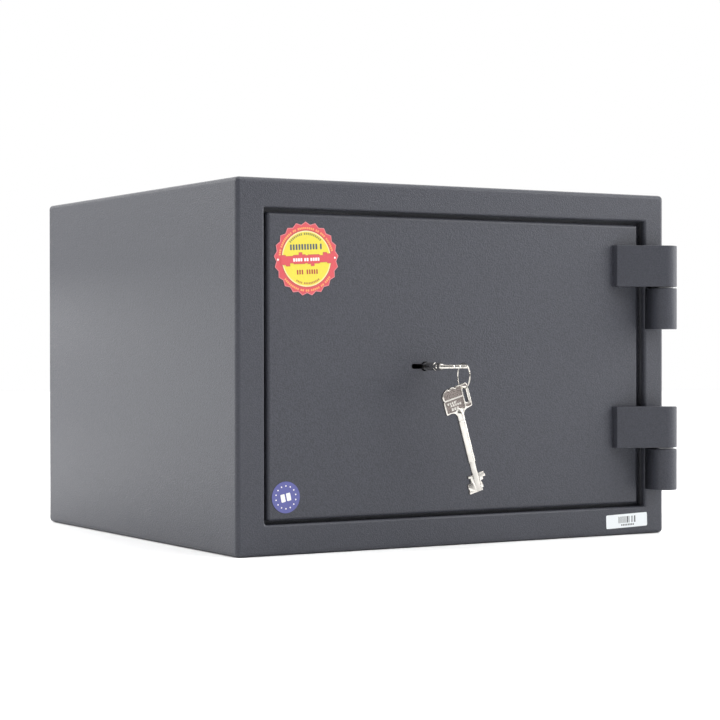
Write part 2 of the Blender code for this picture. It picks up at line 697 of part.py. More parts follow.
# ---- lock ------------------------------------------------------------------------------------
LOCK_INNER_REAR = LOCK_FRONT + LOCK_DEPTH
LEVER_PIVOT = (KEY_X - 0.042, KEY_Z + 0.022)
LEVER_T = 0.0016
LEVER_PITCH = 0.0027
LEVER_SMALL_R = 0.006         # round the lever's pivot
LEVER_LARGE_R = 0.018         # round the key
LEVER_EYE_R = 0.013           # clears the turning bit
LEVER_POST_R = 0.0025
ROTOR_FRONT = LOCK_FRONT + LOCK_SHEET + GAP
ROTOR_PLATE = ROTOR_FRONT + 0.0168            # front of the rotor's rear disc
ROTOR_R = 0.007
ROTOR_DISC_R = 0.0145
CRANK = 0.011                 # the bolts' throw is twice this
CRANK_PIN_R = 0.0025
LOCK_BOLT_FRONT = ROTOR_PLATE + 0.0028
LOCK_BOLT_T = 0.0033
YOKE_HALF_H = 0.021
YOKE_WINDOW = (0.0055, 0.0145)                # half width and half height


def make_lock_case(door_pivot):
    case = cut(area_box(LOCK, LOCK_FRONT, LOCK_INNER_REAR),
               area_box(inset(LOCK, LOCK_SHEET), LOCK_FRONT + LOCK_SHEET, LOCK_INNER_REAR + PAST),
               rod((KEY_X, LOCK_FRONT - PAST, KEY_Z), (KEY_X, LOCK_FRONT + PAST, KEY_Z), 0.011),
               box(LOCK[0] - PAST, LOCK[0] + PAST, LOCK_BOLT_FRONT - 0.0008,
                   LOCK_INNER_REAR + PAST, KEY_Z - 0.0105, KEY_Z + 0.0105))
    part("lock_case", case, "zinc_steel", door_pivot)
    cover = area_box(LOCK, LOCK_INNER_REAR + GAP, LOCK_INNER_REAR + 0.0018)
    part("lock_cover", cover, "zinc_steel", door_pivot)
    x, z = LEVER_PIVOT
    post = rod((x, LOCK_FRONT + LOCK_SHEET + GAP, z), (x, LOCK_INNER_REAR - GAP, z), LEVER_POST_R)
    part("lever_pivot_post", post, "hard_steel", door_pivot)


def lever_outline():
    """Hull of a small circle round the pivot and a large one round the key."""
    ax, az = LEVER_PIVOT
    small = LEVER_SMALL_R
    large = LEVER_LARGE_R
    dx = KEY_X - ax
    dz = KEY_Z - az
    heading = math.atan2(dz, dx)
    spread = math.acos((small - large) / math.hypot(dx, dz))
    outline = []
    for i in range(9):
        angle = heading + spread + (math.tau - 2 * spread) * i / 8
        outline.append((ax + small * math.cos(angle), az + small * math.sin(angle)))
    for i in range(17):
        angle = heading - spread + 2 * spread * i / 16
        outline.append((KEY_X + large * math.cos(angle), KEY_Z + large * math.sin(angle)))
    return outline


def make_levers(lever_pivot):
    x, z = LEVER_PIVOT
    for number in range(4):
        front = ROTOR_FRONT + 0.0018 + number * LEVER_PITCH
        blank = plate(lever_outline(), front, front + LEVER_T)
        lever = cut(blank,
                    rod((KEY_X, front - PAST, KEY_Z), (KEY_X, front + PAST, KEY_Z), LEVER_EYE_R, 28),
                    rod((x, front - PAST, z), (x, front + PAST, z), LEVER_POST_R + GAP))
        part("lever_%d" % (number + 1), lever, "brass", lever_pivot)


def make_key_rotor(key_pivot):
    rear = ROTOR_PLATE + 0.0020
    prongs = rod((KEY_X, ROTOR_FRONT, KEY_Z), (KEY_X, ROTOR_PLATE + 0.0005, KEY_Z), ROTOR_R, 20)
    slot = box(KEY_X - 2 * PAST, KEY_X + 2 * PAST, ROTOR_FRONT - PAST, ROTOR_PLATE,
               KEY_Z - KEY_BIT_T / 2 - GAP, KEY_Z + KEY_BIT_T / 2 + GAP)
    bore = rod((KEY_X, ROTOR_FRONT - PAST, KEY_Z), (KEY_X, ROTOR_PLATE, KEY_Z),
               KEY_NECK_R + GAP)
    disc = rod((KEY_X, ROTOR_PLATE, KEY_Z), (KEY_X, rear, KEY_Z), ROTOR_DISC_R, 32)
    crank = rod((KEY_X + CRANK, rear - 0.0005, KEY_Z),
                (KEY_X + CRANK, LOCK_BOLT_FRONT + LOCK_BOLT_T, KEY_Z), CRANK_PIN_R, 16)
    part("key_rotor", join(cut(prongs, slot, bore), disc, crank), "hard_steel", key_pivot)


def make_boltwork(bolt_pivot):
    carriage_left = BOLT_TAIL + GAP
    carriage_right = carriage_left + 0.008
    bar = box(carriage_left, carriage_right, BOLT_Y - 0.008, BOLT_Y + 0.008,
              BOLT_Z[0] - 0.012, BOLT_Z[-1] + 0.012, 0.001)
    part("bolt_carriage", bar, "zinc_steel", bolt_pivot)
    for place, z in zip(("lower", "middle", "upper"), BOLT_Z):
        bolt = rod((BOLT_TIP, BOLT_Y, z), (BOLT_TAIL, BOLT_Y, z), BOLT_R, 28, 0.0012)
        part("bolt_" + place, bolt, "bright_nickel", bolt_pivot)
    yoke_x = KEY_X + CRANK
    y0 = LOCK_BOLT_FRONT
    y1 = LOCK_BOLT_FRONT + LOCK_BOLT_T
    tongue = box(carriage_right + GAP, yoke_x, y0, y1, KEY_Z - 0.010, KEY_Z + 0.010)
    half_w, half_h = YOKE_WINDOW
    yoke = box(yoke_x - half_w - 0.006, yoke_x + half_w + 0.004, y0, y1,
               KEY_Z - YOKE_HALF_H, KEY_Z + YOKE_HALF_H)
    window = box(yoke_x - half_w, yoke_x + half_w, y0 - PAST, y1 + PAST,
                 KEY_Z - half_h, KEY_Z + half_h)
    part("lock_bolt", cut(join(tongue, yoke), window), "zinc_steel", bolt_pivot)


# ---- keys ------------------------------------------------------------------------------------
def scallop(v_start, v_end, steps=5):
    """One lobe of the bow's wavy end edge, from valley to crest to just before the next valley."""
    valley = 0.0017
    crest = 0.0003
    points = []
    for step in range(steps):
        t = step / steps
        points.append((valley - (valley - crest) * math.sin(math.pi * t),
                       v_start + (v_end - v_start) * t))
    return points


def bow_outline():
    """(u, v) points of a key's bow: u runs from its outer end to the shank, v across it."""
    half = KEY_BOW_HALF
    slot_side = [(0.0, half - 0.0028), (0.0004, half - 0.0014), (0.0016, half - 0.0006),
                 (0.0170, half), (0.0200, half - 0.0002), (0.0209, half - 0.0012),
                 (0.0214, 0.0085), (0.0220, 0.0060), (0.0232, 0.0044), (KEY_BOW_L, 0.0035)]
    far_side = [(KEY_BOW_L, -0.0035), (0.0233, -0.0046), (0.0220, -0.0064), (0.0215, -0.0086),
                (0.0219, -half + 0.0010), (0.0213, -half), (0.0106, -half),
                (0.0097, -half + 0.0009), (0.0088, -half), (0.0056, -half - 0.0001),
                (0.0038, -half + 0.0008), (0.0022, -half + 0.0028), (0.0010, -half + 0.0052)]
    waves = [(0.0005, -0.0068)] + scallop(-0.0055, 0.0007) + scallop(0.0007, 0.0068)
    return slot_side + far_side + waves + [(0.0006, 0.0068)]


def key_solid():
    """One key, lying in the (u, v) plane with its axis along u, as a bmesh in u, v, w."""
    half_t = KEY_THICK / 2
    bow = stack([[(u, v, w) for u, v in bow_outline()] for w in (-half_t, half_t)])
    slot_outline = rounded_rectangle(SLOT_END, SLOT_END + SLOT_L, SLOT_OFFSET - SLOT_W / 2,
                                     SLOT_OFFSET + SLOT_W / 2, [SLOT_W / 2 - 0.0001] * 4, 4)
    bow = cut(bow, stack([[(u, v, w) for u, v in slot_outline] for w in (-PAST, PAST)]))
    bow.normal_update()
    rims = [e for e in bow.edges
            if sorted(abs(round(f.normal.z)) for f in e.link_faces) == [0, 1]]
    bmesh.ops.bevel(bow, geom=rims, offset=KEY_CHAMFER, segments=1, profile=0.5, affect="EDGES",
                    clamp_overlap=True)
    step = KEY_LENGTH - KEY_NECK_L
    shank = rod((KEY_BOW_L - 0.002, 0, 0), (step, 0, 0), KEY_SHANK_R, 20, 0.0008)
    neck = rod((step - 0.001, 0, 0), (KEY_LENGTH - 0.0004, 0, 0), KEY_NECK_R, 18)
    return join(bow, shank, neck, key_bit(KEY_LENGTH - KEY_BIT_L))


def key_bit(start):
    """The double bit: a flat blade whose two edges are cut into steps."""
    slot_side = (0.0082, 0.0090, 0.0062, 0.0038, 0.0047, 0.0047, 0.0034)
    far_side = (0.0078, 0.0060, 0.0064, 0.0098, 0.0100, 0.0094, 0.0100)
    pitch = KEY_BIT_L / len(slot_side)
    near = []
    far = []
    for i in range(len(slot_side)):
        for u in (start + i * pitch, start + (i + 1) * pitch):
            near.append((u, slot_side[i]))
            far.append((u, -far_side[i]))
    far.reverse()
    half_t = KEY_BIT_T / 2
    return stack([[(u, v, w) for u, v in near + far] for w in (-half_t, half_t)])


RING_Y = DOOR_FACE - KEY_BOW_FRONT + SLOT_END / 2
RING_X = KEY_X + SLOT_OFFSET
RING_PIVOT = (RING_X, RING_Y, KEY_Z)
RING_Z = KEY_Z + RING_LIFT - (RING_R - RING_WIRE)
WIRE_LOW_Z = RING_Z - RING_R
SPARE_PIVOT = (RING_X, RING_Y, WIRE_LOW_Z)


def make_inserted_key(slide_pivot):
    key = key_solid()
    start = DOOR_FACE - KEY_BOW_FRONT
    turn = Matrix(((0, 1, 0, KEY_X), (1, 0, 0, start), (0, 0, 1, KEY_Z), (0, 0, 0, 1)))
    bmesh.ops.transform(key, matrix=turn, verts=key.verts)
    part("inserted_key", key, "bright_nickel", slide_pivot)


def make_key_ring(ring_pivot):
    ring = bmesh.new()
    turns = 32
    sides = 6
    rows = []
    for i in range(turns):
        angle = math.tau * i / turns
        row = []
        for j in range(sides):
            around = math.tau * j / sides
            radius = RING_R + RING_WIRE * math.cos(around)
            row.append(ring.verts.new((RING_WIRE * math.sin(around), radius * math.cos(angle),
                                       radius * math.sin(angle))))
        rows.append(row)
    for i in range(turns):
        for j in range(sides):
            ring.faces.new((rows[i][j], rows[i][(j + 1) % sides],
                            rows[(i + 1) % turns][(j + 1) % sides], rows[(i + 1) % turns][j]))
    place = Matrix.Translation((RING_X, RING_Y, RING_Z)) @ Matrix.Rotation(-RING_YAW, 4, "Z")
    bmesh.ops.transform(ring, matrix=place, verts=ring.verts)
    part("key_ring", ring, "bright_nickel", ring_pivot, 60)


def make_spare_key(spare_pivot):
    """The spare hangs by its slot's outer end from the lowest point of the ring."""
    key = key_solid()
    hold = SLOT_END + RING_WIRE + GAP
    bmesh.ops.translate(key, vec=(-hold, -SLOT_OFFSET - SPARE_SET, 0), verts=key.verts)
    hang = Matrix(((0, 1, 0, 0), (0, 0, 1, 0), (-1, 0, 0, 0), (0, 0, 0, 1)))
    tilt = Matrix.Rotation(-SPARE_TILT, 4, "Y")
    place = Matrix.Translation(SPARE_PIVOT)
    bmesh.ops.transform(key, matrix=place @ tilt @ hang, verts=key.verts)
    part("spare_key", key, "bright_nickel", spare_pivot)


# ---- assembly --------------------------------------------------------------------------------
def clear_scene():
    for ob in list(bpy.data.objects):
        bpy.data.objects.remove(ob)


def make_cabinet():
    make_outer_shell()
    make_rear_panel()
    make_door_stop_frame()
    make_bolt_channel()
    make_strike_bar()
    make_inner_liner()
    make_body_barrier_fill()
    make_anchors()
    make_shelf()
    make_shelf_brackets()
    make_frame_label()


def make_door(door_pivot):
    make_door_plate(door_pivot)
    make_door_pan(door_pivot)
    make_door_barrier_fill(door_pivot)
    make_hard_plate(door_pivot)
    make_key_guide_tube(door_pivot)
    make_door_rear_cover(door_pivot)
    make_fire_seal_strip(door_pivot)
    make_hinge_side_locking_bar(door_pivot)
    make_bolt_guide_plate(door_pivot)
    make_stickers(door_pivot)
    make_lock_case(door_pivot)


def main():
    clear_scene()
    door_pivot = pivot("door_axis", (HINGE_X, HINGE_Y, 0.0))
    bolt_pivot = pivot("bolt_slide", (BOLT_TIP, BOLT_Y, KEY_Z), door_pivot)
    lever_pivot = pivot("lever_axis", (LEVER_PIVOT[0], LOCK_FRONT, LEVER_PIVOT[1]), door_pivot)
    key_pivot = pivot("key_axis", (KEY_X, DOOR_FACE, KEY_Z), door_pivot)
    slide_pivot = pivot("key_slide", (KEY_X, DOOR_FACE, KEY_Z), key_pivot)
    ring_pivot = pivot("ring_axis", RING_PIVOT, slide_pivot)
    spare_pivot = pivot("spare_axis", SPARE_PIVOT, ring_pivot)
    make_cabinet()
    make_hinges(door_pivot)
    make_door(door_pivot)
    make_levers(lever_pivot)
    make_key_rotor(key_pivot)
    make_boltwork(bolt_pivot)
    make_inserted_key(slide_pivot)
    make_key_ring(ring_pivot)
    make_spare_key(spare_pivot)


main()
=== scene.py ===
"""Looks of a small fire-resistant key-lock safe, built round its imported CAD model.

Units are metres in the model's own frame: +Z up, the door faces -Y, its hinges are on the +X side.
Cabinet, door and lock are shown by smooth-shaded copies of their CAD nodes. The keys, the ring, the
stickers and the label are replaced by finer pieces. A weld outline is added at each hinge leaf, but
most of it lies inside the leaf, so only a lip of about 0.75 mm shows.
"""

import json
import math
import random

import bmesh
import bpy
from mathutils import Matrix, Vector


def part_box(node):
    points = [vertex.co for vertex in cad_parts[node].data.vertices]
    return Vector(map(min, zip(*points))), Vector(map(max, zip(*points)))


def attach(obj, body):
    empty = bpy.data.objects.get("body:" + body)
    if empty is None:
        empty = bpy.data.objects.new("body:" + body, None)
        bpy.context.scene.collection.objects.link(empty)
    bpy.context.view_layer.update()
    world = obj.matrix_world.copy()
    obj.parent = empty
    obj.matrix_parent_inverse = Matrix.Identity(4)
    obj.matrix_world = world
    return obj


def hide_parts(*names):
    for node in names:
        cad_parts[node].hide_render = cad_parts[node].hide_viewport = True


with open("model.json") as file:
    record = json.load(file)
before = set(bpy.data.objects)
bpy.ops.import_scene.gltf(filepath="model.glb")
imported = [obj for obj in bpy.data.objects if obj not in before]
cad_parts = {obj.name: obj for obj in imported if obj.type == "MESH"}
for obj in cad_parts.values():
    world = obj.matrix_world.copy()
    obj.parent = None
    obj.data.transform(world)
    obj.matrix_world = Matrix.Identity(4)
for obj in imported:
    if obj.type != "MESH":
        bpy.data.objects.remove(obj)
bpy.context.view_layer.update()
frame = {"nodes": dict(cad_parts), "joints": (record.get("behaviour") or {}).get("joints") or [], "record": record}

# ---- sizes taken from the frame --------------------------------------------------------------
SHELL_LOW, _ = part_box("outer_shell")
DOOR_LOW, DOOR_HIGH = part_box("door_plate")
FRONT = SHELL_LOW.y
DOOR_FACE = DOOR_LOW.y
JOINTS = {joint["name"]: joint for joint in frame["joints"]}
KEY_X, _, KEY_Z = JOINTS["key_turn"]["pos_m"]
RING_AT = Vector(JOINTS["ring_swing"]["pos_m"])
SPARE_AT = Vector(JOINTS["spare_key_swing"]["pos_m"])
KEY_OUTER_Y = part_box("inserted_key")[0].y

LIFT = 0.00004                # between printed layers
MERGE = 0.000001              # points closer than this are one


# ---- material nodes --------------------------------------------------------------------------
class Shader:
    """A Principled material with procedural detail in object coordinates."""

    def __init__(self, name, colour, roughness, metallic=0.0, specular=0.5, coat=0.0):
        self.material = bpy.data.materials.new(name)
        self.material.use_nodes = True
        self.tree = self.material.node_tree
        self.shader = self.tree.nodes["Principled BSDF"]
        self.colour = colour
        self.roughness = roughness
        self.set("Base Color", (*colour, 1.0))
        self.set("Roughness", roughness)
        self.set("Metallic", metallic)
        self.set("Specular IOR Level", specular)
        self.set("Coat Weight", coat)
        self.place = self.node("ShaderNodeTexCoord").outputs["Object"]
        self.height = None

    def set(self, socket, value):
        self.shader.inputs[socket].default_value = value

    def node(self, kind):
        return self.tree.nodes.new(kind)

    def link(self, output, socket):
        self.tree.links.new(output, socket)

    def stretched(self, scale):
        """Object coordinates scaled by a vector, for brushed or drawn surfaces."""
        mapping = self.node("ShaderNodeMapping")
        mapping.inputs["Scale"].default_value = scale
        self.link(self.place, mapping.inputs["Vector"])
        return mapping.outputs["Vector"]

    def noise(self, scale, detail=3.0, rough=0.55, coords=None):
        noise = self.node("ShaderNodeTexNoise")
        noise.inputs["Scale"].default_value = scale
        noise.inputs["Detail"].default_value = detail
        noise.inputs["Roughness"].default_value = rough
        self.link(coords or self.place, noise.inputs["Vector"])
        return noise.outputs["Fac"]

    def cells(self, scale):
        cells = self.node("ShaderNodeTexVoronoi")
        cells.feature = "SMOOTH_F1"
        cells.inputs["Scale"].default_value = scale
        cells.inputs["Smoothness"].default_value = 0.6
        self.link(self.place, cells.inputs["Vector"])
        return cells.outputs["Distance"]

    def ramp(self, value, low, high, start=0.3, end=0.7):
        """Map value from start..end onto low..high."""
        remap = self.node("ShaderNodeMapRange")
        remap.inputs["From Min"].default_value = start
        remap.inputs["From Max"].default_value = end
        remap.inputs["To Min"].default_value = low
        remap.inputs["To Max"].default_value = high
        self.link(value, remap.inputs["Value"])
        return remap.outputs["Result"]

    def vary_colour(self, value, amount):
        """Mix the base colour with a lighter or darker one by a 0..1 value."""
        mix = self.node("ShaderNodeMix")
        mix.data_type = "RGBA"
        other = tuple(channel * (1 + amount) for channel in self.colour)
        mix.inputs["A"].default_value = (*self.colour, 1.0)
        mix.inputs["B"].default_value = (*other, 1.0)
        self.link(value, mix.inputs["Factor"])
        self.link(mix.outputs["Result"], self.shader.inputs["Base Color"])

    def vary_roughness(self, value, amount):
        low = self.roughness - amount
        self.link(self.ramp(value, low, self.roughness + amount), self.shader.inputs["Roughness"])

    def bump(self, value, depth, strength=1.0):
        """Relief of the given depth in metres; later calls add to it."""
        bump = self.node("ShaderNodeBump")
        bump.inputs["Strength"].default_value = strength
        bump.inputs["Distance"].default_value = depth
        self.link(value, bump.inputs["Height"])
        if self.height:
            self.link(self.height, bump.inputs["Normal"])
        self.height = bump.outputs["Normal"]
        self.link(self.height, self.shader.inputs["Normal"])


def powder_coat():
    look = Shader("graphite_powder_coat", (0.0405, 0.0425, 0.0525), 0.40, specular=0.32)
    # One orange-peel noise gives both the bump relief and painted shade: the colour is lighter on the crests and
    # darker in the hollows.
    peel_relief_and_shade = look.noise(900, 1.5, 0.5)
    # Painted shade: the hollows of the orange peel are coloured darker and its crests lighter, on top of the bump.
    look.vary_colour(look.ramp(peel_relief_and_shade, 0.0, 1.0, 0.35, 0.65), 0.35)
    look.vary_roughness(look.noise(700, 2.0), 0.03)
    look.bump(peel_relief_and_shade, 0.00028, 1.0)
    look.bump(look.noise(2600, 2.0, 0.6), 0.00005, 0.6)
    return look.material


def inner_coat():
    look = Shader("light_grey_paint", (0.42, 0.43, 0.45), 0.48)
    look.vary_colour(look.ramp(look.noise(14, 3.0), 0.0, 1.0), -0.08)
    look.vary_roughness(look.noise(60), 0.06)
    look.bump(look.noise(900, 2.0), 0.00010, 0.45)
    return look.material


def barrier():
    look = Shader("cast_barrier", (0.50, 0.48, 0.44), 0.92, specular=0.2)
    look.vary_colour(look.ramp(look.noise(45, 5.0), 0.0, 1.0), -0.30)
    look.bump(look.noise(260, 5.0, 0.7), 0.0008, 0.6)
    return look.material


def zinc_steel():
    look = Shader("zinc_plated_steel", (0.432, 0.439, 0.446), 0.36, 1.0)
    look.vary_colour(look.ramp(look.cells(110), 0.0, 1.0, 0.1, 0.7), -0.16)
    look.vary_roughness(look.noise(70), 0.10)
    look.bump(look.noise(420, 3.0), 0.00004, 0.5)
    return look.material


def hard_steel():
    look = Shader("hardened_steel", (0.28, 0.28, 0.29), 0.40, 1.0)
    look.vary_colour(look.ramp(look.noise(80), 0.0, 1.0), -0.25)
    look.vary_roughness(look.noise(160), 0.10)
    look.bump(look.noise(900, 2.0), 0.00003, 0.5)
    return look.material


def bright_nickel():
    look = Shader("bright_nickel", (0.68, 0.655, 0.61), 0.20, 1.0)
    look.vary_colour(look.ramp(look.noise(160, 2.0), 0.0, 1.0), -0.16)
    look.vary_roughness(look.noise(300, 3.0), 0.07)
    look.bump(look.noise(700, 3.0), 0.00004, 0.5)
    return look.material


def cast_nickel():
    """The grained sunk fields of a key's bow."""
    look = Shader("grained_nickel", (0.27, 0.235, 0.220), 0.46, 1.0)
    look.vary_colour(look.ramp(look.noise(1100, 3.0), 0.0, 1.0, 0.40, 0.62), -0.62)
    look.vary_roughness(look.noise(700, 3.0), 0.12)
    look.bump(look.noise(1700, 3.0, 0.7), 0.00018, 0.8)
    return look.material


def stamped_brass():
    look = Shader("stamped_brass", (0.70, 0.52, 0.24), 0.32, 1.0)
    look.vary_colour(look.ramp(look.noise(60), 0.0, 1.0), -0.20)
    look.vary_roughness(look.noise(200, 3.0, coords=look.stretched((1, 1, 12))), 0.10)
    look.bump(look.noise(500, 2.0), 0.00003, 0.4)
    return look.material


def black_plastic():
    look = Shader("black_plastic", (0.016, 0.016, 0.017), 0.48)
    look.vary_roughness(look.noise(90), 0.08)
    look.bump(look.noise(1500, 2.0), 0.00006, 0.5)
    return look.material


def seal_strip():
    look = Shader("intumescent_strip", (0.050, 0.048, 0.047), 0.85, specular=0.25)
    look.vary_colour(look.ramp(look.noise(300, 4.0), 0.0, 1.0), 0.6)
    look.bump(look.noise(900, 4.0, 0.7), 0.0003, 0.6)
    return look.material


def label_paper():
    look = Shader("white_label", (0.74, 0.77, 0.79), 0.42, specular=0.4)
    look.vary_colour(look.ramp(look.noise(700, 4.0), 0.0, 1.0), -0.04)
    look.bump(look.noise(1200, 4.0), 0.00003, 0.4)
    return look.material


def printed_foil(name, colour):
    look = Shader(name, colour, 0.34, coat=0.25)
    look.set("Coat Roughness", 0.12)
    look.vary_colour(look.ramp(look.noise(420, 3.0), 0.0, 1.0), -0.07)
    look.vary_roughness(look.noise(180), 0.05)
    look.bump(look.noise(260, 2.0), 0.00003, 0.3)
    return look.material


MATERIALS = {
    "powder_coat": powder_coat(),
    "interior_coat": inner_coat(),
    "barrier": barrier(),
    "zinc_steel": zinc_steel(),
    "hard_steel": hard_steel(),
    "nickel": bright_nickel(),
    "brass": stamped_brass(),
    "plug_plastic": black_plastic(),
    "fire_seal": seal_strip(),
    "label_paper": label_paper(),
    "red_foil": printed_foil("red_foil", (0.61, 0.080, 0.096)),
    "blue_foil": printed_foil("blue_foil", (0.080, 0.086, 0.29)),
}
KEY_FIELD = cast_nickel()
INKS = {
    "yellow": printed_foil("yellow_foil", (0.72, 0.61, 0.062)),
    "cream": printed_foil("cream_foil", (0.76, 0.67, 0.34)),
    "white": printed_foil("white_foil", (0.82, 0.80, 0.78)),
    "pale_red": printed_foil("pale_red_foil", (0.62, 0.22, 0.24)),
    "navy": printed_foil("navy_ink", (0.06, 0.08, 0.13)),
    "dark_red": printed_foil("dark_red_ink", (0.38, 0.055, 0.045)),
    "brown": printed_foil("brown_ink", (0.42, 0.17, 0.055)),
    "olive": printed_foil("olive_ink", (0.24, 0.23, 0.07)),
    "orange": printed_foil("orange_ink", (0.84, 0.36, 0.12)),
    "black": printed_foil("black_ink", (0.02, 0.02, 0.022)),
    "grey": printed_foil("grey_ink", (0.16, 0.16, 0.17)),
}


REPLACED = ("inserted_key", "spare_key", "key_ring", "rating_sticker", "round_sticker",
            "frame_label")
BODY_OF = {node: body for body, nodes in frame["record"]["behaviour"]["bodies"].items()
           for node in nodes}


def dress_cad_nodes():
    """Each CAD node gets its slot's material. Those with no finer piece are shown by a copy."""
    for row in frame["record"]["subparts"]:
        node = row["node"]
        ob = frame["nodes"][node]
        for index in range(len(ob.material_slots)):
            ob.material_slots[index].material = MATERIALS[row["material_slot"]]
        if node not in REPLACED:
            refine(node, row["material_slot"])


def refine(node, slot):
    """A copy of a CAD node without triangle seams, shaded smooth over its rounded edges."""
    shape = bmesh.new()
    shape.from_mesh(frame["nodes"][node].data)
    bmesh.ops.remove_doubles(shape, verts=shape.verts, dist=MERGE)
    bmesh.ops.dissolve_limit(shape, angle_limit=math.radians(0.4), verts=shape.verts,
                             edges=shape.edges)
    bmesh.ops.recalc_face_normals(shape, faces=shape.faces)
    for face in shape.faces:
        face.material_index = 0
    fine = piece(node + "_skin", shape, MATERIALS[slot], BODY_OF[node], [node], 32)
    weigh_normals(fine)


def weigh_normals(ob):
    """Keep large faces flat and let their rounded edges carry the shading."""
    modifier = ob.modifiers.new("weigh", "WEIGHTED_NORMAL")
    modifier.keep_sharp = True
    modifier.weight = 100
    depsgraph = bpy.context.evaluated_depsgraph_get()
    weighed = bpy.data.meshes.new_from_object(ob.evaluated_get(depsgraph))
    ob.modifiers.remove(modifier)
    ob.data = weighed


# ---- mesh helpers ----------------------------------------------------------------------------
def piece(name, shape, material, body, replaced=(), smooth_angle=35):
    """Turn a bmesh in the row frame into an object that rides on a CAD body."""
    mesh = bpy.data.meshes.new(name)
    shape.to_mesh(mesh)
    shape.free()
    for entry in material if isinstance(material, (list, tuple)) else [material]:
        mesh.materials.append(entry)
    mesh.shade_smooth()
    mesh.set_sharp_from_angle(angle=math.radians(smooth_angle))
    ob = bpy.data.objects.new(name, mesh)
    bpy.context.scene.collection.objects.link(ob)
    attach(ob, body)
    if replaced:
        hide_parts(*replaced)
    return ob


def temporary(shape):
    mesh = bpy.data.meshes.new("temporary")
    bmesh.ops.recalc_face_normals(shape, faces=shape.faces)
    shape.to_mesh(mesh)
    shape.free()
    ob = bpy.data.objects.new("temporary", mesh)
    bpy.context.scene.collection.objects.link(ob)
    return ob


def combine(base, tools, operation):
    for tool in tools:
        base_ob = temporary(base)
        tool_ob = temporary(tool)
        modifier = base_ob.modifiers.new("combine", "BOOLEAN")
        modifier.operation = operation
        modifier.solver = "EXACT"
        modifier.object = tool_ob
        depsgraph = bpy.context.evaluated_depsgraph_get()
        base = bmesh.new()
        base.from_mesh(base_ob.evaluated_get(depsgraph).data)
        bmesh.ops.remove_doubles(base, verts=base.verts, dist=MERGE)
        for ob in (base_ob, tool_ob):
            mesh = ob.data
            bpy.data.objects.remove(ob)
            bpy.data.meshes.remove(mesh)
    return base


def stack(loops):
    """A closed skin through loops of points, with its ends filled."""
    shape = bmesh.new()
    rings = [[shape.verts.new(point) for point in loop] for loop in loops]
    for lower, upper in zip(rings, rings[1:]):
        for i in range(len(lower)):
            j = (i + 1) % len(lower)
            shape.faces.new((lower[i], lower[j], upper[j], upper[i]))
    shape.faces.new(rings[0])
    shape.faces.new(rings[-1])
    bmesh.ops.recalc_face_normals(shape, faces=shape.faces)
    return shape


def slab(outline, low, high):
    """An outline of (u, v) points, extruded along w."""
    return stack([[(u, v, w) for u, v in outline] for w in (low, high)])


def arc(centre, radius, start, end, steps):
    """Points on an arc, angles in degrees."""
    points = []
    for i in range(steps + 1):
        angle = math.radians(start + (end - start) * i / steps)
        points.append((centre[0] + radius * math.cos(angle),
                       centre[1] + radius * math.sin(angle)))
    return points


def rounded(outline, radius, steps=4):
    """The outline with each corner cut back by a small arc of about this radius."""
    points = []
    count = len(outline)
    for i in range(count):
        here = Vector(outline[i])
        before = Vector(outline[i - 1]) - here
        after = Vector(outline[(i + 1) % count]) - here
        reach = min(radius, before.length * 0.45, after.length * 0.45)
        start = here + before.normalized() * reach
        end = here + after.normalized() * reach
        for k in range(steps + 1):
            t = k / steps
            point = start * (1 - t) ** 2 + here * 2 * t * (1 - t) + end * t ** 2
            points.append((point.x, point.y))
    return points


def turned(profile, segments=40):
    """A body of revolution about the u axis, from (u, radius) pairs."""
    loops = []
    for u, radius in profile:
        loops.append([(u, radius * math.cos(math.tau * i / segments),
                       radius * math.sin(math.tau * i / segments)) for i in range(segments)])
    return stack(loops)


# ---- keys ------------------------------------------------------------------------------------
BOW_L = 0.0255
BOW_HALF = 0.0136
BOW_HALF_T = 0.0015
FIELD_DEPTH = 0.00042
KEY_L = 0.093
SHANK_R = 0.0035
NECK_R = 0.0029
NECK_START = KEY_L - 0.0258
SLOT_V = 0.009
SLOT_START = 0.004
SLOT_L = 0.0128
SLOT_W = 0.0036
BIT_L = 0.0153
RING_HALF_WIRE = 0.00075      # half the section of the CAD ring
HOLD = SLOT_START + RING_HALF_WIRE + 0.0003   # from the bow's end to the hanging point
SPARE_TILT = math.radians(-16.3)
CUT = 0.01                    # how far cutters reach past the bow's faces
BOW_EDGE = 0.00038
BIT_EDGE = 0.00018
FIELD_TOLERANCE = 0.00003
BAR_SINK = 0.0002
BAR_LOW = 0.0001              # the bars end this far below the bow's face
BAR_GAP = 0.0005
SHANK_GROOVE = SHANK_R - 0.00025
SPARE_SET = 0.0006            # the spare hangs this far off the middle of its slot


def scallops(v_start, v_end, count, steps=8):
    """The wavy outer edge: round lobes with sharp valleys between them."""
    valley = 0.0017
    crest = 0.0002
    points = []
    pitch = (v_end - v_start) / count
    for lobe in range(count):
        for step in range(steps):
            t = step / steps
            points.append((valley - (valley - crest) * math.sin(math.pi * t) ** 0.8,
                           v_start + pitch * (lobe + t)))
    return points


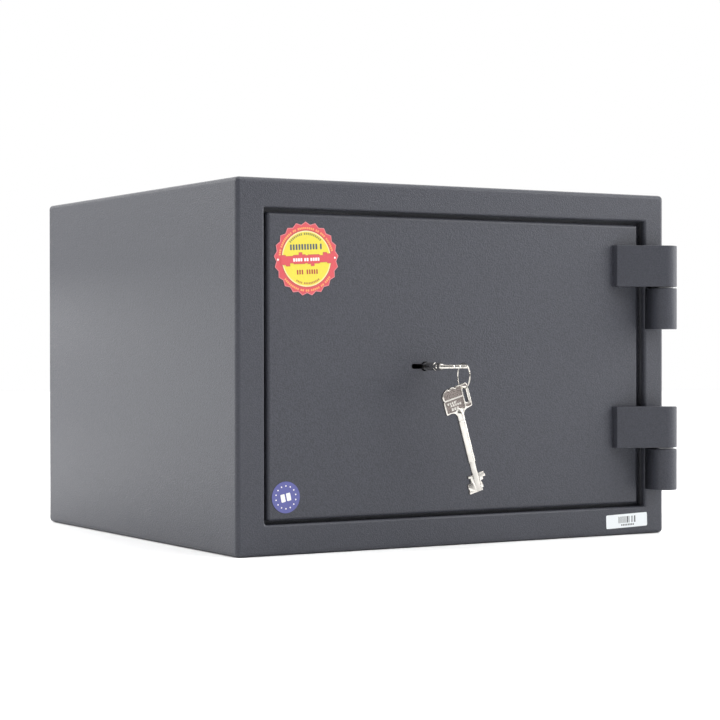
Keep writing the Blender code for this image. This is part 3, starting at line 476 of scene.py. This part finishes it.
def bow_outline():
    half = BOW_HALF
    slot_side = [(0.0001, half - 0.0030), (0.0003, half - 0.0016), (0.0009, half - 0.0008),
                 (0.0020, half - 0.0004), (0.0170, half), (0.0196, half - 0.0001),
                 (0.0206, half - 0.0006), (0.0210, half - 0.0016), (0.0212, 0.0098)]
    slot_root = [(0.0215, 0.0080), (0.0220, 0.0062), (0.0229, 0.0047), (0.0241, 0.0039),
                 (BOW_L, 0.0035)]
    far_root = [(BOW_L, -0.0035), (0.0242, -0.0040), (0.0230, -0.0049), (0.0221, -0.0064),
                (0.0216, -0.0086)]
    far_side = [(0.0219, -half + 0.0016), (0.0218, -half + 0.0004), (0.0210, -half),
                (0.0110, -half), (0.0103, -half + 0.0003), (0.0098, -half + 0.0010),
                (0.0092, -half + 0.0003), (0.0084, -half - 0.0001), (0.0060, -half - 0.0001),
                (0.0044, -half + 0.0006), (0.0030, -half + 0.0017), (0.0019, -half + 0.0034),
                (0.0010, -half + 0.0054), (0.0007, -0.0068)]
    return (slot_side + slot_root + far_root + far_side
            + scallops(-0.0055, 0.0068, 2) + [(0.0006, 0.0068)])


def slot_outline():
    start = SLOT_START
    end = SLOT_START + SLOT_L
    half = SLOT_W / 2
    low = arc((start + half, SLOT_V), half, 90, 270, 8)
    high = arc((end - half, SLOT_V), half, -90, 90, 8)
    return low + high


def field_outlines():
    """The sunk fields of the bow: lobes, panel, the corner by the slot and the end."""
    rim = 0.0010
    edge = -BOW_HALF + rim
    slot_side = SLOT_V - SLOT_W / 2 - 0.0011
    lobes = [(0.0092, edge + 0.0004), (0.0092, slot_side), (0.0014, slot_side),
             (0.0015, 0.0022), (0.0030, 0.0007), (0.0014, -0.0010), (0.0014, -0.0038),
             (0.0031, -0.0056), (0.0018, -0.0076), (0.0026, -0.0098), (0.0048, edge)]
    panel = [(0.0106, edge), (0.0106, slot_side), (0.0202, slot_side - 0.0002),
             (0.0208, 0.0042), (0.0196, 0.0030), (0.0196, -0.0030), (0.0210, -0.0044),
             (0.0206, edge)]
    corner = [(0.0180, 0.0064), (0.0180, BOW_HALF - rim), (0.0200, BOW_HALF - rim),
              (0.0203, 0.0082)]
    end = [(0.0012, 0.0076), (0.0012, 0.0118), (0.0032, 0.0124), (0.0021, 0.0084)]
    return (rounded(lobes, 0.0006), rounded(panel, 0.0006), rounded(corner, 0.0006),
            rounded(end, 0.0005))


def relief_bars():
    """Plain raised bars on the panel, in place of any lettering."""
    # u, half width, first v, pitch, count
    rows = ((0.0131, 0.0010, -0.0106, 0.0022, 4), (0.0153, 0.0009, -0.0080, 0.0023, 5),
            (0.0184, 0.0012, -0.0077, 0.0026, 3), (0.0124, 0.0004, -0.0026, 0.0022, 1),
            (0.0160, 0.0028, -0.0122, 0.0007, 1))
    bars = []
    for u, half, start, pitch, count in rows:
        for i in range(count):
            low = start + i * pitch
            high = low + pitch - BAR_GAP
            bars.append(rounded([(u - half, low), (u - half, high), (u + half, high),
                                 (u + half, low)], 0.0004, 3))
    return bars


def key_shape():
    """A double-bitted key in (u, v, w): u runs from the bow's outer end to the tip."""
    bow = combine(slab(bow_outline(), -BOW_HALF_T, BOW_HALF_T),
                  [slab(slot_outline(), -CUT, CUT)], "DIFFERENCE")
    bow.normal_update()
    rims = [e for e in bow.edges
            if sorted(abs(round(f.normal.z)) for f in e.link_faces) == [0, 1]]
    bmesh.ops.bevel(bow, geom=rims, offset=BOW_EDGE, segments=3, profile=0.5, affect="EDGES",
                    clamp_overlap=True)
    pockets = []
    bars = []
    floor = BOW_HALF_T - FIELD_DEPTH
    for side in (1, -1):
        for outline in field_outlines():
            pockets.append(slab(outline, *sorted((side * floor, side * CUT))))
        for outline in relief_bars():
            bars.append(slab(outline, *sorted((side * (floor - BAR_SINK),
                                               side * (BOW_HALF_T - BAR_LOW)))))
    bow = combine(bow, pockets, "DIFFERENCE")
    bow = combine(bow, bars, "UNION")
    shank = turned([(0.0186, 0.0006), (0.0190, 0.0013), (0.0200, 0.0020), (0.0214, 0.0029),
                    (0.0228, SHANK_R - 0.0001), (0.0240, SHANK_R), (0.0296, SHANK_R),
                    (0.0299, SHANK_GROOVE), (0.0304, SHANK_GROOVE),
                    (0.0307, SHANK_R), (NECK_START - 0.0006, SHANK_R),
                    (NECK_START, SHANK_R - 0.0005), (NECK_START + 0.0003, NECK_R),
                    (KEY_L - 0.0010, NECK_R), (KEY_L - 0.0004, NECK_R - 0.0004)])
    return combine(bow, [shank, bit_shape()], "UNION")


def bit_shape():
    """The two-sided bit: a flat blade with stepped edges."""
    slot_side = (0.0082, 0.0090, 0.0062, 0.0038, 0.0047, 0.0047, 0.0034)
    far_side = (0.0078, 0.0060, 0.0064, 0.0098, 0.0100, 0.0094, 0.0100)
    pitch = BIT_L / len(slot_side)
    near = []
    far = []
    for i in range(len(slot_side)):
        for u in (KEY_L - BIT_L + i * pitch, KEY_L - BIT_L + (i + 1) * pitch):
            near.append((u, slot_side[i]))
            far.append((u, -far_side[i]))
    far.reverse()
    blade = slab(near + far, -BOW_HALF_T, BOW_HALF_T)
    blade.normal_update()
    rims = [e for e in blade.edges
            if sorted(abs(round(f.normal.z)) for f in e.link_faces) == [0, 1]]
    bmesh.ops.bevel(blade, geom=rims, offset=BIT_EDGE, segments=2, profile=0.5, affect="EDGES",
                    clamp_overlap=True)
    return blade


def mark_fields(shape):
    """Faces on the floors of the sunk fields take the second material."""
    floor = BOW_HALF_T - FIELD_DEPTH
    for face in shape.faces:
        centre = face.calc_center_median()
        face.material_index = int(abs(abs(centre.z) - floor) < FIELD_TOLERANCE
                                 and centre.x < BOW_L)


def make_keys():
    shape = key_shape()
    mark_fields(shape)
    spare = shape.copy()
    into_lock = Matrix(((0, 1, 0, KEY_X), (1, 0, 0, KEY_OUTER_Y), (0, 0, 1, KEY_Z), (0, 0, 0, 1)))
    bmesh.ops.transform(shape, matrix=into_lock, verts=shape.verts)
    piece("door_key", shape, (MATERIALS["nickel"], KEY_FIELD), "key", ["inserted_key"])
    bmesh.ops.translate(spare, vec=(-HOLD, -SLOT_V - SPARE_SET, 0), verts=spare.verts)
    hang = Matrix(((0, 1, 0, 0), (0, 0, 1, 0), (-1, 0, 0, 0), (0, 0, 0, 1)))
    tilt = Matrix.Rotation(SPARE_TILT, 4, "Y")
    bmesh.ops.transform(spare, matrix=Matrix.Translation(SPARE_AT) @ tilt @ hang,
                        verts=spare.verts)
    piece("hanging_key", spare, (MATERIALS["nickel"], KEY_FIELD), "spare",
          ["spare_key"])


def make_ring():
    """A split ring: two close turns of wire."""
    low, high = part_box("key_ring")
    mean_radius = (high.z - low.z) / 2 - RING_HALF_WIRE
    centre_z = (high.z + low.z) / 2
    wire = 0.00032
    flattened = 1.35
    turn_gap = 0.00033            # each turn lies this far off the middle
    spread = 0.00330              # how fast the wire crosses from one turn to the other
    sides = 10
    per_turn = 72
    turns = 2
    axis = Vector(JOINTS["ring_swing"]["axis"]).normalized()
    across = axis.cross(Vector((0, 0, 1))).normalized()
    start = math.radians(200)
    centre = Vector((RING_AT.x, RING_AT.y, centre_z))
    loops = []
    for i in range(per_turn * turns + 1):
        t = i / per_turn
        angle = start + math.tau * t
        outward = across * math.cos(angle) + Vector((0, 0, 1)) * math.sin(angle)
        shift = max(-turn_gap, min(turn_gap, (t / turns - 0.5) * spread))
        point = centre + outward * mean_radius + axis * shift
        loop = []
        for k in range(sides):
            round_wire = math.tau * k / sides
            loop.append(point + outward * (wire * flattened * math.cos(round_wire))
                        + axis * (wire * math.sin(round_wire)))
        loops.append(loop)
    piece("split_ring", stack(loops), MATERIALS["nickel"], "ring", ["key_ring"], 60)


# ---- weld outlines ---------------------------------------------------------------------------
WELD_REACH = 0.0033
WELD_HEIGHT = 0.0015
WELD_CORNER = 0.0008
CORNER_STEPS = 6
WELD_STEP = 0.0006
WELD_END = 0.0035             # the weld stops this far from the door's edge
FINE_WAVE = 0.0009
COARSE_WAVE = 0.0031
# across and up from the path, as shares of the weld's reach and height
WELD_PROFILE = ((-0.20, -0.15), (1.06, -0.15), (1.02, 0.16), (0.95, 0.38), (0.84, 0.50),
                (0.72, 0.50), (0.60, 0.38), (0.46, 0.26), (0.30, 0.28), (0.16, 0.50),
                (0.06, 0.78), (0.0, 1.0), (-0.20, 1.0))


def weld(name, path, seed):
    """A slightly uneven weld along a path of (x, y, z) points on a face whose normal is -Y.

    It spreads to the side that the path's direction crossed with -Y points to. Round a hinge leaf
    that is the inner side, so the weld runs into the leaf.
    """
    rng = random.Random(seed)
    phase = [rng.uniform(0, math.tau) for _ in range(2)]
    outward_face = Vector((0, -1, 0))
    loops = []
    travelled = 0.0
    for i, point in enumerate(path):
        point = Vector(point)
        before = Vector(path[max(i - 1, 0)])
        after = Vector(path[min(i + 1, len(path) - 1)])
        sideways = (after - before).normalized().cross(outward_face).normalized()
        travelled += (point - before).length
        size = 1 + 0.07 * math.sin(travelled / FINE_WAVE + phase[0]) \
            + 0.06 * math.sin(travelled / COARSE_WAVE + phase[1])
        if i in (0, len(path) - 1):
            size *= 0.4
        loop = [point + sideways * (across * size * WELD_REACH)
                + outward_face * (up * size * WELD_HEIGHT) for across, up in WELD_PROFILE]
        loops.append(loop)
    piece(name, stack(loops), MATERIALS["powder_coat"], "door", smooth_angle=60)


def even_path(corners, y, radius, step):
    """A path in the plane y through (x, z) corners, with round corners, in even steps."""
    line = []
    for i, corner in enumerate(corners):
        here = Vector(corner)
        if i in (0, len(corners) - 1):
            line.append(here)
            continue
        before = (Vector(corners[i - 1]) - here).normalized() * radius
        after = (Vector(corners[i + 1]) - here).normalized() * radius
        for k in range(CORNER_STEPS + 1):
            t = k / CORNER_STEPS
            line.append((here + before) * (1 - t) ** 2 + here * 2 * t * (1 - t)
                        + (here + after) * t ** 2)
    path = []
    for a, b in zip(line, line[1:]):
        pieces = max(1, round((b - a).length / step))
        for k in range(pieces):
            point = a.lerp(b, k / pieces)
            path.append((point.x, y, point.y))
    path.append((line[-1].x, y, line[-1].y))
    return path


def make_weld_outlines():
    for number, place in enumerate(("lower", "upper")):
        low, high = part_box("hinge_leaf_" + place)
        right = DOOR_HIGH.x - WELD_END
        corners = [(right, low.z), (low.x, low.z), (low.x, high.z), (right, high.z)]
        path = even_path(corners, DOOR_FACE, WELD_CORNER, WELD_STEP)
        weld("leaf_weld_" + place, path, 11 + number)


# ---- stickers and label ----------------------------------------------------------------------
class Print:
    """Thin printed layers in one piece: outlines in (x, z) about a centre on a face."""

    def __init__(self, centre, face_y):
        self.centre = centre
        self.face_y = face_y
        self.shape = bmesh.new()
        self.inks = []

    def ink(self, material):
        if material not in self.inks:
            self.inks.append(material)
        return self.inks.index(material)

    def add(self, outline, material, layer, thickness=LIFT):
        """One closed patch whose front lies layer steps ahead of the face."""
        front = self.face_y - LIFT * (layer + 1)
        index = self.ink(material)
        cx, cz = self.centre
        rings = [[self.shape.verts.new((cx + x, y, cz + z)) for x, z in outline]
                 for y in (front, front + thickness * 0.9)]
        faces = [self.shape.faces.new(rings[0]), self.shape.faces.new(reversed(rings[1]))]
        count = len(outline)
        for i in range(count):
            j = (i + 1) % count
            faces.append(self.shape.faces.new((rings[0][j], rings[0][i],
                                               rings[1][i], rings[1][j])))
        bmesh.ops.recalc_face_normals(self.shape, faces=faces)
        for face in faces:
            face.material_index = index

    def done(self, name, body, node):
        piece(name, self.shape, self.inks, body, [node], 30)


def circle(radius, steps=96):
    return [(radius * math.cos(math.tau * i / steps), radius * math.sin(math.tau * i / steps))
            for i in range(steps)]


def ring_patch(radius, width, start, end, steps):
    """A curved dash: part of a ring, angles in degrees."""
    outer = arc((0, 0), radius + width / 2, start, end, steps)
    inner = arc((0, 0), radius - width / 2, end, start, steps)
    return outer + inner


def bar(x, z, width, height, radius, tilt):
    corners = [(-width / 2, -height / 2), (width / 2, -height / 2),
               (width / 2, height / 2), (-width / 2, height / 2)]
    cos_t = math.cos(tilt)
    sin_t = math.sin(tilt)
    turned_corners = [(x + a * cos_t - b * sin_t, z + a * sin_t + b * cos_t) for a, b in corners]
    return rounded(turned_corners, radius, 3)


def star(radius, notch, points, start):
    outline = []
    for i in range(points * 2):
        angle = start + math.tau * i / (points * 2)
        reach = radius - notch * (i % 2)
        outline.append((reach * math.cos(angle), reach * math.sin(angle)))
    return outline


def dashes(sticker, radius, width, start, end, groups, material, layer):
    """Short curved dashes along a circle, from angle start to end in degrees, in groups."""
    length = 1.0
    gap = 0.45
    space = 1.1
    total = sum(count * (length + gap) for count in groups) + space * (len(groups) - 1)
    scale = (end - start) / total
    angle = start
    for count in groups:
        for _ in range(count):
            sticker.add(ring_patch(radius, width, angle, angle + length * scale, 2),
                        material, layer)
            angle += (length + gap) * scale
        angle += space * scale


def row_of_bars(sticker, start, z, groups, width, height, gap, space, material, layer, tilt):
    """A row of small plain bars in groups, in place of a line of print."""
    x = start
    for count in groups:
        for _ in range(count):
            at = x + width / 2    # the row is laid out level, then turned by tilt
            sticker.add(bar(at * math.cos(tilt) - z * math.sin(tilt),
                           at * math.sin(tilt) + z * math.cos(tilt), width, height,
                           width * 0.2, tilt), material, layer)
            x += width + gap
        x += space


RATING_TURN = math.radians(2.9)
RATING_POINTS = 21
RATING_NOTCH = 0.0023
RATING_FIRST = math.radians(5.7)
RATING_EDGE = 0.0007          # the paler edge round the red star
BAND_BELOW = 0.0008           # the band reaches this much further down than up
BAND_EDGE = 0.00035
SPOT_OUT = 0.0272
SPOT_R = 0.0009


def make_rating_sticker():
    low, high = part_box("rating_sticker")
    centre = ((low.x + high.x) / 2, (low.z + high.z) / 2)
    radius = (high.z - low.z) / 2
    turn = math.degrees(RATING_TURN)
    sticker = Print(centre, high.y)
    sticker.add(star(radius, RATING_NOTCH, RATING_POINTS, RATING_FIRST),
                INKS["pale_red"], 1, LIFT * 2)
    sticker.add(star(radius - RATING_EDGE, RATING_NOTCH, RATING_POINTS, RATING_FIRST),
                MATERIALS["red_foil"], 2)
    sticker.add(circle(radius * 0.775), INKS["dark_red"], 3)
    sticker.add(circle(radius * 0.758), INKS["cream"], 4)
    sticker.add(circle(radius * 0.722), INKS["yellow"], 5)
    sticker.add(band_outline(radius * 0.77, BAND_EDGE), INKS["brown"], 6)
    sticker.add(band_outline(radius * 0.79, 0.0), MATERIALS["red_foil"], 7)
    dashes(sticker, 0.0256, 0.0016, 172 + turn, 12 + turn, (3, 9, 2, 9, 2, 3, 7), INKS["orange"], 3)
    dashes(sticker, 0.0266, 0.0016, 217 + turn, 325 + turn, (9, 2, 2, 5, 2, 4), INKS["orange"], 3)
    dashes(sticker, 0.0208, 0.0018, 137 + turn, 45 + turn, (8, 10), INKS["olive"], 6)
    dashes(sticker, 0.0206, 0.0016, 239 + turn, 304 + turn, (4, 10), INKS["brown"], 6)
    tilt = RATING_TURN
    row_of_bars(sticker, -0.0152, 0.0099, (2, 2, 2, 2, 2), 0.0016, 0.0047, 0.0011, 0.0,
                INKS["navy"], 6, tilt)
    row_of_bars(sticker, 0.0134, 0.0099, (1,), 0.0016, 0.0047, 0.0, 0.0, INKS["navy"], 6, tilt)
    row_of_bars(sticker, -0.0128, -0.0007, (4, 2, 4), 0.0017, 0.0027, 0.0006, 0.0013,
                INKS["white"], 8, tilt)
    row_of_bars(sticker, -0.0098, -0.0110, (3, 5), 0.0014, 0.0039, 0.0009, 0.0024,
                INKS["dark_red"], 6, tilt)
    for side in (-1, 1):
        spot = (side * SPOT_OUT * math.cos(tilt), side * SPOT_OUT * math.sin(tilt))
        sticker.add([(spot[0] + x, spot[1] + z) for x, z in circle(SPOT_R, 16)],
                    INKS["white"], 8)
    sticker.done("rating_print", "door", "rating_sticker")


def band_outline(reach, grow):
    """The red band across the disc, with small steps along both edges, turned with the print."""
    steps = ((-1.0, 0.0034), (-0.82, 0.0024), (-0.52, 0.0032), (-0.30, 0.0052), (-0.16, 0.0034),
             (-0.03, 0.0026), (0.06, 0.0032), (0.52, 0.0024), (0.66, 0.0048), (0.82, 0.0036),
             (1.0, 0.0036))
    top = []
    bottom = []
    for (share, height), (next_share, _) in zip(steps, steps[1:]):
        top += [(share * reach, height + grow), (next_share * reach, height + grow)]
        bottom += [(-share * reach, -height - BAND_BELOW - grow),
                   (-next_share * reach, -height - BAND_BELOW - grow)]
    cos_t = math.cos(RATING_TURN)
    sin_t = math.sin(RATING_TURN)
    return [(x * cos_t - z * sin_t, x * sin_t + z * cos_t) for x, z in top[::-1] + bottom[::-1]]


DOT_COUNT = 14
DOT_R = 0.00062
DOT_OUT = 0.72                # share of the sticker's radius
BLOCK_TILT = math.radians(12)


def make_round_sticker():
    low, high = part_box("round_sticker")
    centre = ((low.x + high.x) / 2, (low.z + high.z) / 2)
    radius = (high.z - low.z) / 2
    sticker = Print(centre, high.y)
    sticker.add(circle(radius), MATERIALS["blue_foil"], 1, LIFT * 2)
    for i in range(DOT_COUNT):
        angle = math.tau * (i + 0.5) / DOT_COUNT
        spot = (radius * DOT_OUT * math.cos(angle), radius * DOT_OUT * math.sin(angle))
        sticker.add([(spot[0] + x, spot[1] + z) for x, z in circle(DOT_R, 14)], INKS["white"], 2)
    row_of_bars(sticker, -0.0048, -0.0002, (2,), 0.0040, 0.0066, 0.0014, 0.0,
                INKS["white"], 2, BLOCK_TILT)
    sticker.done("round_print", "door", "round_sticker")


LABEL_TILT = math.radians(1.75)
LABEL_W = 0.0471
LABEL_H = 0.0125
LABEL_CORNER = 0.0014
STRIPE_H = 0.0060
STRIPE_Z = 0.0011
STRIPE_START = -0.0096
# width of each stripe and the gap after it
STRIPES = ((0.0004, 0.0007),) * 9 + ((0.0012, 0.0008), (0.0007, 0.0022), (0.0006, 0.0008),
                                     (0.0005, 0.0015), (0.0013, 0.0))


def make_label():
    low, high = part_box("frame_label")
    centre = ((low.x + high.x) / 2, (low.z + high.z) / 2)
    sticker = Print(centre, high.y)
    sticker.add(bar(0, 0, LABEL_W, LABEL_H, LABEL_CORNER, LABEL_TILT),
                MATERIALS["label_paper"], 1, LIFT * 2)
    x = STRIPE_START
    for stripe, gap in STRIPES:
        middle = x + stripe / 2
        sticker.add(bar(middle, STRIPE_Z + middle * math.tan(LABEL_TILT), stripe, STRIPE_H,
                        0.00005, LABEL_TILT), INKS["black"], 2)
        x += stripe + gap
    row_of_bars(sticker, -0.0065, -0.0037, (8,), 0.0013, 0.0017, 0.0006, 0.0,
                INKS["grey"], 2, LABEL_TILT)
    sticker.done("label_print", "cabinet", "frame_label")


# ---- stage, light and camera -----------------------------------------------------------------
def area_light(name, place, target, width, height, power):
    data = bpy.data.lights.new(name, "AREA")
    data.shape = "RECTANGLE"
    data.size = width
    data.size_y = height
    data.energy = power
    ob = bpy.data.objects.new(name, data)
    bpy.context.scene.collection.objects.link(ob)
    ob.location = place
    ob.rotation_euler = (Vector(target) - Vector(place)).to_track_quat("-Z", "Y").to_euler()


FLOOR_RADIUS = 6.0
FLOOR_DROP = 0.0002
WHITE = (1.0, 1.0, 1.0, 1.0)


def make_floor():
    shape = bmesh.new()
    bmesh.ops.create_circle(shape, cap_ends=True, segments=96, radius=FLOOR_RADIUS)
    mesh = bpy.data.meshes.new("floor")
    shape.to_mesh(mesh)
    shape.free()
    floor = bpy.data.objects.new("floor", mesh)
    bpy.context.scene.collection.objects.link(floor)
    floor.location = (0, 0, SHELL_LOW.z - FLOOR_DROP)
    look = Shader("pale_floor", (0.93, 0.93, 0.93), 0.75, specular=0.1)
    look.vary_colour(look.ramp(look.noise(3.0), 0.0, 1.0), -0.01)
    mesh.materials.append(look.material)


WORLD_LEVEL = 1.0
WORLD_PARTS = (               # direction, where it starts and is full (cosines), strength added
    ((-0.508, -0.861, 0.0), 0.10, 0.90, -0.97),
    ((0.0, 0.0, 1.0), 0.0, 0.90, 0.58),
    ((0.750, 0.661, 0.0), 0.20, 0.90, 0.85))


def make_world():
    """Pale studio light, brighter overhead and behind, dim before the door; a white backdrop."""
    world = bpy.data.worlds.new("studio")
    bpy.context.scene.world = world
    world.use_nodes = True
    tree = world.node_tree
    background = tree.nodes["Background"]
    background.inputs["Color"].default_value = WHITE
    place = tree.nodes.new("ShaderNodeTexCoord")
    level = None
    for direction, start, full, strength in WORLD_PARTS:
        towards = tree.nodes.new("ShaderNodeVectorMath")
        towards.operation = "DOT_PRODUCT"
        towards.inputs[1].default_value = direction
        tree.links.new(place.outputs["Generated"], towards.inputs[0])
        part = tree.nodes.new("ShaderNodeMapRange")
        part.interpolation_type = "SMOOTHSTEP"
        part.inputs["From Min"].default_value = start
        part.inputs["From Max"].default_value = full
        part.inputs["To Min"].default_value = 0.0
        part.inputs["To Max"].default_value = strength
        tree.links.new(towards.outputs["Value"], part.inputs["Value"])
        total = tree.nodes.new("ShaderNodeMath")
        total.inputs[1].default_value = WORLD_LEVEL
        tree.links.new(part.outputs["Result"], total.inputs[0])
        if level is not None:
            tree.links.new(level, total.inputs[1])
        level = total.outputs["Value"]
    tree.links.new(level, background.inputs["Strength"])
    backdrop = tree.nodes.new("ShaderNodeBackground")
    backdrop.inputs["Color"].default_value = WHITE
    rays = tree.nodes.new("ShaderNodeLightPath")
    choose = tree.nodes.new("ShaderNodeMixShader")
    tree.links.new(rays.outputs["Is Camera Ray"], choose.inputs["Fac"])
    tree.links.new(background.outputs["Background"], choose.inputs[1])
    tree.links.new(backdrop.outputs["Background"], choose.inputs[2])
    tree.links.new(choose.outputs["Shader"], tree.nodes["World Output"].inputs["Surface"])


def make_lights():
    area_light("top_softbox", (-0.1, -0.6, 1.9), (0, -0.15, 0.1), 1.7, 1.2, 13)
    area_light("right_softbox", (1.3, -1.7, 1.3), (0, -0.2, 0.15), 0.9, 0.9, 11)
    area_light("side_softbox", (2.2, -1.0, 0.9), (0, -0.2, 0.15), 1.0, 1.2, 23)
    area_light("left_softbox", (-1.7, 1.3, 1.1), (-0.2, 0.1, 0.3), 0.9, 0.9, 21)
    area_light("floor_spot", (-0.50, 0.75, 0.25), (-0.50, 0.75, 0.0), 0.3, 0.3, 2.6)


CAMERA_TARGET = Vector((-0.10518, FRONT, 0.1618))
CAMERA_AZIMUTH = math.radians(-30.552)
CAMERA_ELEVATION = math.radians(0.3733)
CAMERA_ROLL = math.radians(-0.0612)
CAMERA_DISTANCE = 1.7192
CAMERA_LENS = 101.456         # millimetres, as the sensor
CAMERA_SENSOR = 36


def make_camera():
    back = Vector((math.sin(CAMERA_AZIMUTH) * math.cos(CAMERA_ELEVATION),
                   -math.cos(CAMERA_AZIMUTH) * math.cos(CAMERA_ELEVATION),
                   math.sin(CAMERA_ELEVATION)))
    right = (-back).cross(Vector((0, 0, 1))).normalized()
    up = right.cross(-back)
    cos_r = math.cos(CAMERA_ROLL)
    sin_r = math.sin(CAMERA_ROLL)
    right, up = right * cos_r + up * sin_r, up * cos_r - right * sin_r
    data = bpy.data.cameras.new("camera")
    data.lens = CAMERA_LENS
    data.sensor_width = CAMERA_SENSOR
    camera = bpy.data.objects.new("camera", data)
    bpy.context.scene.collection.objects.link(camera)
    placed = Matrix((right, up, back)).transposed().to_4x4()
    placed.translation = CAMERA_TARGET + back * CAMERA_DISTANCE
    camera.matrix_world = placed
    bpy.context.scene.camera = camera


# ---- build -----------------------------------------------------------------------------------
def main():
    dress_cad_nodes()
    make_keys()
    make_ring()
    make_weld_outlines()
    make_rating_sticker()
    make_round_sticker()
    make_label()
    make_floor()
    make_world()
    make_lights()
    make_camera()
    bpy.context.scene.view_settings.view_transform = "Standard"
    bpy.context.view_layer.update()


main()
